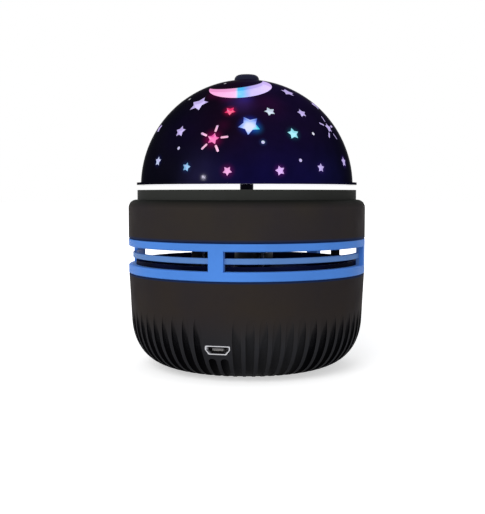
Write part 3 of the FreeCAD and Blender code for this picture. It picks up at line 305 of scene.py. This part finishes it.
def housing_plastic():
    """Charcoal, with painted shade under the collar, navy painted shade at its lower edge, and paler navy
    painted light from the blue ring on the vent chamber's ceiling.
    """
    t = Surface("housing_plastic")
    height = t.coordinate("Z")
    body = t.mottled(34.0, srgb(47, 43, 46), srgb(52, 47, 43))
    # painted navy shade at the housing's lower edge, above the ring
    body = t.mix(t.ramp(height, HOUSING_BOTTOM + 0.25 * MM, HOUSING_BOTTOM + 1.2 * MM), SEAM_SHADE_NAVY, body)
    underside = t.ramp(height, HOUSING_BOTTOM + 0.3 * MM, HOUSING_BOTTOM + 0.5 * MM, 1.0, 0.0)
    ceiling = t.maths("MULTIPLY", underside, t.inside_ring())
    # painted blue light from the ring on the vent chamber's ceiling
    body = t.mix(ceiling, body, t.toned(60.0, srgb(84, 92, 150), 0.2))
    # painted shade just under the collar
    body = t.mix(t.ramp(height, SHOULDER_TOP - 2.8 * MM, SHOULDER_TOP - 0.1 * MM), body, srgb(22, 24, 22))
    return plastic(t, body, t.edge_wear_and_highlight(0.1, 0.3), EDGE_CHARCOAL, (0.55, 0.7))


def lid_plastic():
    """Navy painted light from the blue ring in uneven patches, and nearly black painted shade on the outer
    side of the rim.
    """
    t = Surface("lid_plastic")
    # painted shade on the outer side of the rim
    rim_shade = t.ramp(t.radius(), LID_RADIUS - 0.95 * MM, LID_RADIUS - 0.45 * MM)
    # painted blue light from the ring, in uneven patches
    inner = t.toned(60.0, srgb(40, 50, 92), 0.5)
    outer = t.toned(60.0, srgb(10, 14, 38), 0.6)
    return plastic(t, t.mix(rim_shade, inner, outer), t.edge_wear_and_highlight(0.1, 0.3), srgb(44, 54, 96), (0.5, 0.66))


def ring_plastic():
    """Blue, greyer on the recessed rib, with painted shade at its top and bottom edges and a little painted
    glow on the inside of the ring.
    """
    t = Surface("blue_plastic")
    rib = t.toned(45.0, srgb(96, 138, 198), 0.06)
    face = t.toned(45.0, srgb(80, 138, 224), 0.05)
    body = t.mix(t.ramp(t.radius(), RIB_FACE + 0.05 * MM, RIB_FACE + 0.25 * MM), rib, face)
    half_height = (RING_TOP - RING_BOTTOM) / 2
    from_middle = t.maths("ABSOLUTE", t.maths("SUBTRACT", t.coordinate("Z"), (RING_BOTTOM + RING_TOP) / 2))
    # painted shade along the ring's top and bottom edges
    ring_edge_shade = t.ramp(from_middle, half_height - 0.35 * MM, half_height - 0.1 * MM)
    body = t.mix(ring_edge_shade, body, srgb(16, 36, 92))
    # painted glow on the inside of the ring
    painted_inner_glow = t.mix(t.inside_ring(), BLACK, srgb(20, 42, 86))
    # lighter edges, scuffed and with painted highlight
    return plastic(
        t, body, t.edge_wear_and_highlight(0.1, 0.25), srgb(120, 170, 240), (0.4, 0.52), specular=0.06, grain=1500.0, depth=0.01,
        Emission_Color=painted_inner_glow, Emission_Strength=1.0,
    )


# ---------------------------------------------------------------- metals, boards, leads and foam
def metal(name, colour, roughness):
    """Worn metal with fine level lines, as turning leaves, and a little staining."""
    t = Surface(name)
    flattened = t.add("Mapping", {"Vector": t.place, "Scale": (1.0, 1.0, 12.0)}).outputs[0]
    lines = t.noise(700.0, 3.0, 0.6, flattened)
    stain = t.ramp(t.noise(220.0, 3.0), 0.4, 0.7)
    return t.finish(
        Base_Color=t.mix(stain, colour, scaled(colour, 0.78)),
        Roughness=t.ramp(lines, 0.3, 0.7, roughness - 0.06, roughness + 0.1),
        Normal=t.bump(lines, 0.006 * MM),
        Metallic=1.0,
    )


def socket_metal():
    """Tinned steel, bright on the lips of the port, with painted shade darkening it inside."""
    t = Surface("bright_tin")
    depth = t.maths("SUBTRACT", t.coordinate("Y"), SOCKET_FRONT)
    # painted shade, deepening into the port
    inside = t.ramp(depth, 0.02 * MM, 0.5 * MM, smooth=True)
    lines = t.noise(900.0, 3.0, 0.6)
    lips = t.mix(lines, srgb(186, 186, 190), srgb(206, 206, 210))
    return t.finish(
        Base_Color=t.mix(inside, lips, srgb(120, 120, 124)),
        Roughness=t.ramp(lines, 0.3, 0.7, 0.28, 0.45),
        Normal=t.bump(lines, 0.006 * MM),
        Metallic=1.0,
    )


def lamp_material():
    """White body with a yellow phosphor lens on top."""
    t = Surface("lamp_phosphor")
    lens = t.ramp(t.coordinate("Z"), LAMP_BODY_TOP + 0.02 * MM, LAMP_BODY_TOP + 0.06 * MM)
    speckle = t.ramp(t.noise(2500.0, 3.0), 0.4, 0.6, 0.0, 0.3)
    body = t.mix(speckle, srgb(236, 236, 228), srgb(214, 212, 200))
    return t.finish(
        Base_Color=t.mix(lens, body, srgb(238, 206, 66)),
        Emission_Color=t.mix(lens, BLACK, srgb(255, 240, 190)),
        Roughness=t.ramp(speckle, 0.0, 0.3, 0.3, 0.45),
        Emission_Strength=0.6,
    )


def board(name, mask, pad, scale):
    """Circuit board: solder mask over traces, with tinned pads."""
    t = Surface(name)
    cells = t.add("TexVoronoi", {"Vector": t.place, "Scale": scale}, distance="MANHATTAN").outputs["Distance"]
    pads = t.ramp(cells, 0.16, 0.13)
    bricks = {"Scale": scale * 0.8, "Mortar Size": 0.05, "Color1": BLACK, "Color2": BLACK, "Mortar": WHITE}
    traces = t.add("TexBrick", {"Vector": t.place, **bricks}).outputs["Color"]
    body = t.mix(traces, mask, scaled(mask, 1.5, 0.01))
    return t.finish(
        Base_Color=t.mix(pads, body, pad),
        Roughness=t.varied(500.0, 2.0, 0.3, 0.45),
        Metallic=t.ramp(pads, 0.0, 1.0, 0.0, 0.9),
        Normal=t.bump(traces, 0.03 * MM, Normal=t.bump(pads, 0.04 * MM)),
    )


def lead_material():
    """The right lead of each pair grey and the left one black, both soft and slightly ribbed."""
    t = Surface("lead_insulation")
    across = t.coordinate("X")
    motor_pair = t.maths("GREATER_THAN", across, 0.0)
    apart = t.maths("MULTIPLY", motor_pair, MOTOR_LEADS_MIDDLE - LAMP_LEADS_MIDDLE)
    right_lead = t.maths("GREATER_THAN", across, t.maths("ADD", apart, LAMP_LEADS_MIDDLE))
    tone = t.varied(600.0, 3.0)
    black = t.mix(tone, srgb(44, 46, 52), srgb(60, 62, 68))
    grey = t.mix(tone, srgb(120, 124, 136), srgb(150, 154, 166))
    return t.finish(
        Base_Color=t.mix(right_lead, black, grey),
        Roughness=t.ramp(tone, 0.0, 1.0, 0.4, 0.55),
        Normal=t.bump(t.noise(1800.0, 2.0), 0.02 * MM),
    )


def pad_foam():
    """Closed-cell rubber foam."""
    t = Surface("pad_foam")
    cells = t.add("TexVoronoi", {"Vector": t.place, "Scale": 1400.0}).outputs["Distance"]
    return t.finish(
        Base_Color=t.mix(t.varied(90.0, 3.0), srgb(26, 26, 27), srgb(38, 38, 38)),
        Roughness=t.ramp(cells, 0.0, 0.6, 0.8, 0.95),
        Normal=t.bump(cells, 0.12 * MM),
        Specular_IOR_Level=0.2,
    )


# ---------------------------------------------------------------- the dome and the light in it
# bearing and lift on the dome, radius of the coloured patch (mm), colour of the light through it
LIGHTS = (
    # blue star, from its points inwards, and its teal corner
    (15, 31, 8.0, srgb(30, 62, 190)),
    (15, 31, 4.6, srgb(150, 180, 252)),
    (15, 31, 3.0, srgb(204, 212, 255)),
    (19, 29, 2.2, srgb(80, 215, 235)),
    # rayed star: rays, then body
    (-4.7, 23.5, 7.0, srgb(252, 190, 222)),
    (-4.7, 23.5, 2.9, srgb(240, 92, 172)),
    # the other stars of the front
    (2.7, 40, 3.0, srgb(240, 56, 112)),
    (28.5, 39.8, 3.0, srgb(198, 214, 228)),
    (40, 26.5, 3.3, srgb(150, 228, 240)),
    (4, 7.1, 2.6, srgb(232, 158, 214)),
    (30, 7.3, 2.6, srgb(214, 170, 235)),
    (-18, 9.2, 2.4, srgb(128, 184, 226)),
    (-40, 12.7, 2.4, srgb(194, 206, 240)),
    # dots
    (22, 21.5, 1.6, srgb(215, 228, 245)),
    (54, 27, 1.6, srgb(230, 230, 245)),
    (41.5, 12.5, 1.6, srgb(205, 195, 240)),
    (-25, 19, 1.6, srgb(205, 200, 235)),
    (-20, 69, 1.8, srgb(250, 246, 252)),
    (-44, 52, 1.8, srgb(250, 246, 252)),
    # stars and rayed stars of the sides and back
    (118, 37, 5.4, srgb(250, 120, 185)),
    (149, 8, 2.6, srgb(130, 200, 250)),
    (184, 52, 3.0, srgb(245, 70, 125)),
    (192, 30, 7.0, srgb(170, 200, 255)),
    (216, 38, 5.0, srgb(250, 150, 205)),
    (246, 31, 7.0, srgb(130, 220, 240)),
    (257, 11, 2.6, srgb(245, 150, 212)),
    (286, 15, 2.6, srgb(150, 228, 240)),
    (297, 50, 2.8, srgb(250, 130, 180)),
)
# bearing and lift on the dome, radius of the painted halo (mm), colour that it adds to the dome
HALOS = (
    # round stars of the front and right, and round one dot
    (15, 31, 5.9, srgb(20, 62, 200)),
    (19, 29, 4.0, srgb(0, 80, 130)),
    (-4.7, 23.5, 5.7, srgb(126, 0, 70)),
    (2.7, 40, 4.0, srgb(150, 0, 44)),
    (40, 26.5, 4.2, srgb(0, 76, 92)),
    (4, 7.1, 4.0, srgb(92, 6, 70)),
    (30, 7.3, 3.6, srgb(84, 18, 100)),
    (-18, 9.2, 3.4, srgb(6, 40, 86)),
    (-40, 12.7, 3.6, srgb(16, 22, 86)),
    (54, 9, 3.2, srgb(46, 20, 92)),
    (77, 12.7, 3.8, srgb(52, 24, 110)),
    (22, 21.5, 2.2, srgb(40, 60, 110)),
    # under the crescent
    (-13, 55, 7.0, srgb(64, 0, 40)),
    (-2, 51, 6.0, srgb(56, 0, 44)),
    (12, 50, 6.0, srgb(20, 20, 90)),
    # round stars of the sides and back
    (118, 37, 6.2, srgb(110, 6, 60)),
    (192, 30, 6.4, srgb(20, 48, 150)),
    (216, 38, 5.8, srgb(110, 10, 60)),
    (246, 31, 6.4, srgb(0, 66, 84)),
    (184, 52, 4.4, srgb(120, 0, 42)),
    (257, 11, 4.0, srgb(84, 10, 60)),
    # wide faint glows between the motifs of the front
    (0, 31, 5.0, srgb(34, 0, 18)),
    (28, 45, 13.0, srgb(28, 0, 14)),
    (9, 45, 10.0, srgb(38, 22, 70)),
    (-10, 5, 19.0, srgb(22, 20, 44)),
    (-24, 28, 24.0, srgb(5, 0, 20)),
    (60, 6, 17.0, srgb(3, 4, 26)),
)
LAVENDER = srgb(190, 174, 230)
PALE_LAVENDER = srgb(196, 180, 236)
SMOKE = (0.1, 0.1, 0.12, 1)             # tint of the lens itself
NIGHT = (0.001, 0.001, 0.003, 1)        # of the dome where hardly any light comes through
MOON = dome_point(5, 66.5)
MOON_HALF_WIDTH = 12 * MM
# share of the way across the crescent, and the colour of the light there
MOON_BANDS = (
    (0.0, srgb(244, 158, 212)),
    (0.2, srgb(246, 168, 220)),
    (0.325, srgb(248, 176, 226)),
    (0.35, srgb(205, 205, 242)),
    (0.37, srgb(84, 196, 245)),
    (0.44, srgb(84, 188, 246)),
    (0.51, srgb(150, 170, 245)),
    (0.57, srgb(192, 176, 246)),
    (0.85, srgb(216, 190, 252)),
)


def moon_light(t):
    """The crescent's bands of colour, from its left tip to its right one."""
    bands = t.add("ValToRGB", {"Fac": t.ramp(t.sideways(), -MOON_HALF_WIDTH, MOON_HALF_WIDTH)})
    stops = bands.color_ramp.elements
    stops[0].color = MOON_BANDS[0][1]
    stops[1].position, stops[1].color = MOON_BANDS[-1]
    for position, colour in MOON_BANDS[1:-1]:
        stops.new(position).color = colour
    return bands.outputs["Color"]


def inner_light(t):
    """Colour of the light inside the dome: lavender, with coloured patches behind the motifs."""
    hue = t.mix(t.ramp(t.noise(38.0, 1.0), 0.42, 0.58), LAVENDER, PALE_LAVENDER)
    hue = t.mix(t.near(MOON, 13 * MM, 14 * MM), hue, moon_light(t))
    for bearing, lift, radius, colour in LIGHTS:
        patch = t.near(dome_point(bearing, lift), radius * 0.6 * MM, radius * MM)
        hue = t.mix(patch, hue, colour)
    return hue


def glowing_lens():
    """Frosted lens: lit from inside in several colours, and white near its rim."""
    t = Surface("frosted_glow")
    rim = t.ramp(t.coordinate("Z"), LENS_BOTTOM + 1.1 * MM, LENS_BOTTOM + 3.6 * MM, 1.0, 0.0, smooth=True)
    hue = t.mix(rim, inner_light(t), WHITE)
    cloud = t.mix(t.varied(420.0, 4.0, 0.0, 0.12), hue, WHITE)
    return t.finish(
        Base_Color=t.mix(0.85, cloud, SMOKE),
        Emission_Color=cloud,
        Roughness=t.varied(900.0, 3.0, 0.45, 0.65),
        Normal=t.bump(t.noise(3000.0, 2.0), 0.02 * MM),
        Emission_Strength=0.9,
        Specular_IOR_Level=0.05,
    )


def dark_dome():
    """Glossy near-black dome with painted light: a dim coloured glow over its front, halos round the
    motifs, and the walls of its cut-outs glowing in the inner light.
    """
    glow_middle = 8 * MM                # to the right of the axis
    t = Surface("dome_gloss")
    side = t.sideways()
    height = t.coordinate("Z")
    # painted glow over the front of the dome
    upper = t.mix(t.ramp(side, -8 * MM, 6 * MM, smooth=True), srgb(22, 5, 22), srgb(17, 7, 38))
    rise = t.ramp(height, DOME_CENTRE.z + 0.7 * MM, DOME_CENTRE.z + 21.7 * MM, smooth=True)
    front = t.mix(rise, srgb(14, 10, 56), upper)
    outward = t.maths("ABSOLUTE", t.maths("SUBTRACT", side, glow_middle))
    glow = t.mix(t.ramp(outward, 6 * MM, 34 * MM, 1.0, 0.0, smooth=True), srgb(6, 6, 14), front)
    # painted halos round the motifs
    for bearing, lift, radius, colour in HALOS:
        spot = t.near(dome_point(bearing, lift), 0.0, radius * MM)
        glow = t.mix(t.maths("MULTIPLY", spot, spot), glow, colour, "ADD")
    glow = t.mix(t.varied(160.0, 3.0, 0.0, 0.3), glow, NIGHT)

    from_centre = t.vectors("DISTANCE", t.place, DOME_CENTRE)
    below_face = t.ramp(from_centre, DOME_RADIUS - 2 * CUT_DEPTH, DOME_RADIUS - CUT_DEPTH, 1.0, 0.0)
    above_rim = t.ramp(height, DOME_RIM_TOP + 0.05 * MM, DOME_RIM_TOP + 0.15 * MM)
    wall = t.maths("MULTIPLY", below_face, above_rim)
    wipe = t.noise(70.0, 4.0)
    return t.finish(
        Base_Color=t.mix(t.ramp(wipe, 0.4, 0.6), srgb(3, 3, 7), srgb(6, 5, 11)),
        Emission_Color=t.mix(wall, glow, t.mix(0.04, inner_light(t), BLACK)),
        Roughness=t.ramp(wipe, 0.3, 0.7, 0.08, 0.12),
        Normal=t.bump(t.noise(260.0, 0.0), 0.001 * MM),
        Emission_Strength=1.0,
        Specular_IOR_Level=0.0001,
    )


# ---------------------------------------------------------------- finishes of slots and of single nodes
slot_finishes = {
    "black_shell": moulded("charcoal_plastic", srgb(48, 44, 42), 0.62, specular=MATT, patch=30.0),
    "blue_ring": ring_plastic(),
    "dome_black": dark_dome(),
    "frosted_lens": glowing_lens(),
    "pad_rubber": pad_foam(),
    "stem_black": moulded("blackened_steel", srgb(8, 8, 13), 0.4, specular=0.02, grain=900.0, depth=0.01),
    "screw_steel": metal("zinc_steel", srgb(178, 180, 186), 0.34),
    "board_green": board("green_board", srgb(18, 74, 40), srgb(190, 190, 180), 300.0),
    "board_white": board("white_board", srgb(226, 226, 220), srgb(190, 190, 184), 190.0),
    "socket_metal": socket_metal(),
    "contact_gold": metal("contact_flash", srgb(182, 180, 172), 0.3),
    "component_black": moulded("component_plastic", srgb(30, 30, 32), 0.5, patch=120.0),
    "capacitor_sleeve": moulded("shrink_sleeve", srgb(38, 52, 110), 0.35, grain=900.0, depth=0.015),
    "header_white": moulded("nylon", srgb(222, 218, 206), 0.5, spread=0.05),
    "motor_black": moulded(
        "motor_paint", srgb(16, 22, 44), 0.35, specular=0.4, edge_most=0.6, grain=1200.0, depth=0.02,
    ),
    "gear_white": moulded("acetal", srgb(226, 222, 208), 0.42, specular=0.4, spread=0.04),
    "pinion_brass": metal("turned_brass", srgb(206, 168, 92), 0.25),
    "lamp_white": lamp_material(),
    "lead_sleeve": lead_material(),
}
node_finishes = {
    "base_shell": fluted_plastic(),
    "upper_housing": housing_plastic(),
    "usb_tongue": moulded("tongue_plastic", srgb(128, 126, 126), 0.5, specular=0.1, patch=400.0),
    "base_lid": lid_plastic(),
    "cap_knob": moulded("knob_plastic", srgb(34, 35, 54), 0.45, specular=0.02, patch=80.0),
    "lamp_deck": moulded("deck_plastic", srgb(49, 50, 48), 0.62, specular=MATT, patch=30.0),
}
for part in frame["record"]["subparts"]:
    node = part["node"]
    slots = frame["nodes"][node].data.materials
    for index in range(len(slots)):
        slots[index] = node_finishes.get(node, slot_finishes[part["material_slot"]])


# ---------------------------------------------------------------- world and floor
def make_world():
    """An even room light, which the camera, reflections and glass see as white."""
    world = bpy.data.worlds.new("studio")
    world.use_nodes = True
    scene.world = world
    tree = Nodes(world.node_tree)
    room = tree.add("Background", {"Color": (0.97, 0.98, 1.0, 1), "Strength": 0.5})
    white = tree.add("Background", {"Color": WHITE, "Strength": 1.0})
    mixed = tree.add("MixShader", {0: tree.seen(), 1: room.outputs[0], 2: white.outputs[0]})
    tree.add("OutputWorld", {"Surface": mixed.outputs[0]})


def floor_material():
    """Pale grey in the light, and lifted to white where it is seen, but less so close to the object."""
    t = Surface("pale_floor")
    grey = t.mix(t.varied(3.0, 2.0), (0.80, 0.80, 0.80, 1), (0.83, 0.83, 0.83, 1))
    t.finish(Base_Color=grey, Roughness=0.9, Specular_IOR_Level=0.0)
    far = t.ramp(t.vectors("LENGTH", t.place), 0.1, 0.5, 0.55, 1.0)
    lift = t.add("Emission", {"Color": WHITE, "Strength": far})
    dark = t.add("Emission", {"Color": BLACK, "Strength": 0.0})
    shown = t.add("MixShader", {0: t.seen(), 1: dark.outputs[0], 2: lift.outputs[0]})
    both = t.add("AddShader", {0: t.shader.outputs[0], 1: shown.outputs[0]})
    t.put(t.output.inputs["Surface"], both.outputs[0])
    return t.material


def make_floor(radius=6.0, gap=0.1 * MM):
    """A round floor, a hair below the pad so that the two faces don't meet."""
    mesh = bpy.data.meshes.new("floor")
    form = bmesh.new()
    bmesh.ops.create_circle(form, cap_ends=True, segments=96, radius=radius)
    form.to_mesh(mesh)
    form.free()
    mesh.materials.append(floor_material())
    floor = bpy.data.objects.new("floor", mesh)
    floor.location.z = -gap
    scene.collection.objects.link(floor)


make_world()
make_floor()


# ---------------------------------------------------------------- lights and camera
LIGHT_AIM = Vector((0, 0, 55 * MM))     # near the middle of the object
LIGHT_DISTANCE = 0.9
SPARK_PLACE = dome_point(-8, 4.5)
SPARK_DISTANCE = 0.4

CAMERA_DISTANCE = 0.333                 # from the lamp's axis
CAMERA_HEIGHT = 0.0655
FOCAL_PIXELS = 866.0
LONG_SIDE = 514                         # of the picture, in pixels
AXIS_SHIFT = 4.2                        # pixels from the picture's middle to the lamp's axis
HORIZON_SHIFT = 63.0                    # pixels from the horizon down to the picture's middle


def area_light(name, shape, size, power, target, distance, away):
    """An area light at a distance from its target, in the direction away."""
    data = bpy.data.lights.new(name, "AREA")
    data.shape = shape
    data.size = size
    data.energy = power
    light = bpy.data.objects.new(name, data)
    light.location = target + away * distance
    light.rotation_mode = "QUATERNION"
    light.rotation_quaternion = away.to_track_quat("Z", "Y")
    scene.collection.objects.link(light)
    return light


def soft_light(name, bearing, lift, size, power):
    """A square light, aimed at the middle of the object and unseen in reflections."""
    light = area_light(name, "SQUARE", size, power, LIGHT_AIM, LIGHT_DISTANCE, direction(bearing, lift))
    light.visible_glossy = False


def make_camera():
    """The camera fitted to the photo. It looks a little down, and a little to the left of the axis."""
    data = bpy.data.cameras.new("camera")
    data.sensor_width = 36.0
    data.lens = data.sensor_width * FOCAL_PIXELS / LONG_SIDE
    data.clip_start = 0.01
    data.clip_end = 50.0
    camera = bpy.data.objects.new("camera", data)
    camera.location = CAMERA_DISTANCE * direction(VIEW_BEARING) + Vector((0, 0, CAMERA_HEIGHT))
    tilt = math.radians(90) - math.atan(HORIZON_SHIFT / FOCAL_PIXELS)
    turn = math.radians(VIEW_BEARING) + math.atan(AXIS_SHIFT / FOCAL_PIXELS)
    camera.rotation_euler = (tilt, 0, turn)
    scene.collection.objects.link(camera)
    scene.camera = camera
    return camera


def make_spark(camera):
    """A small light on the dome alone; its reflection is the one bright spot low on the left."""
    normal = (SPARK_PLACE - DOME_CENTRE).normalized()
    to_camera = (camera.location - SPARK_PLACE).normalized()
    away = 2 * normal.dot(to_camera) * normal - to_camera
    light = area_light("spark", "RECTANGLE", 28 * MM, 120.0, SPARK_PLACE, SPARK_DISTANCE, away)
    light.data.size_y = 6 * MM
    light.data.color = (0.86, 0.82, 1.0)
    light.visible_diffuse = False
    receivers = bpy.data.collections.new("spark_receivers")
    receivers.objects.link(frame["nodes"]["star_dome"])
    light.light_linking.receiver_collection = receivers


soft_light("key", bearing=-6, lift=34, size=0.5, power=3.9)
soft_light("fill", bearing=60, lift=20, size=0.6, power=0.1)
soft_light("back", bearing=190, lift=50, size=0.6, power=1.0)
make_spark(make_camera())
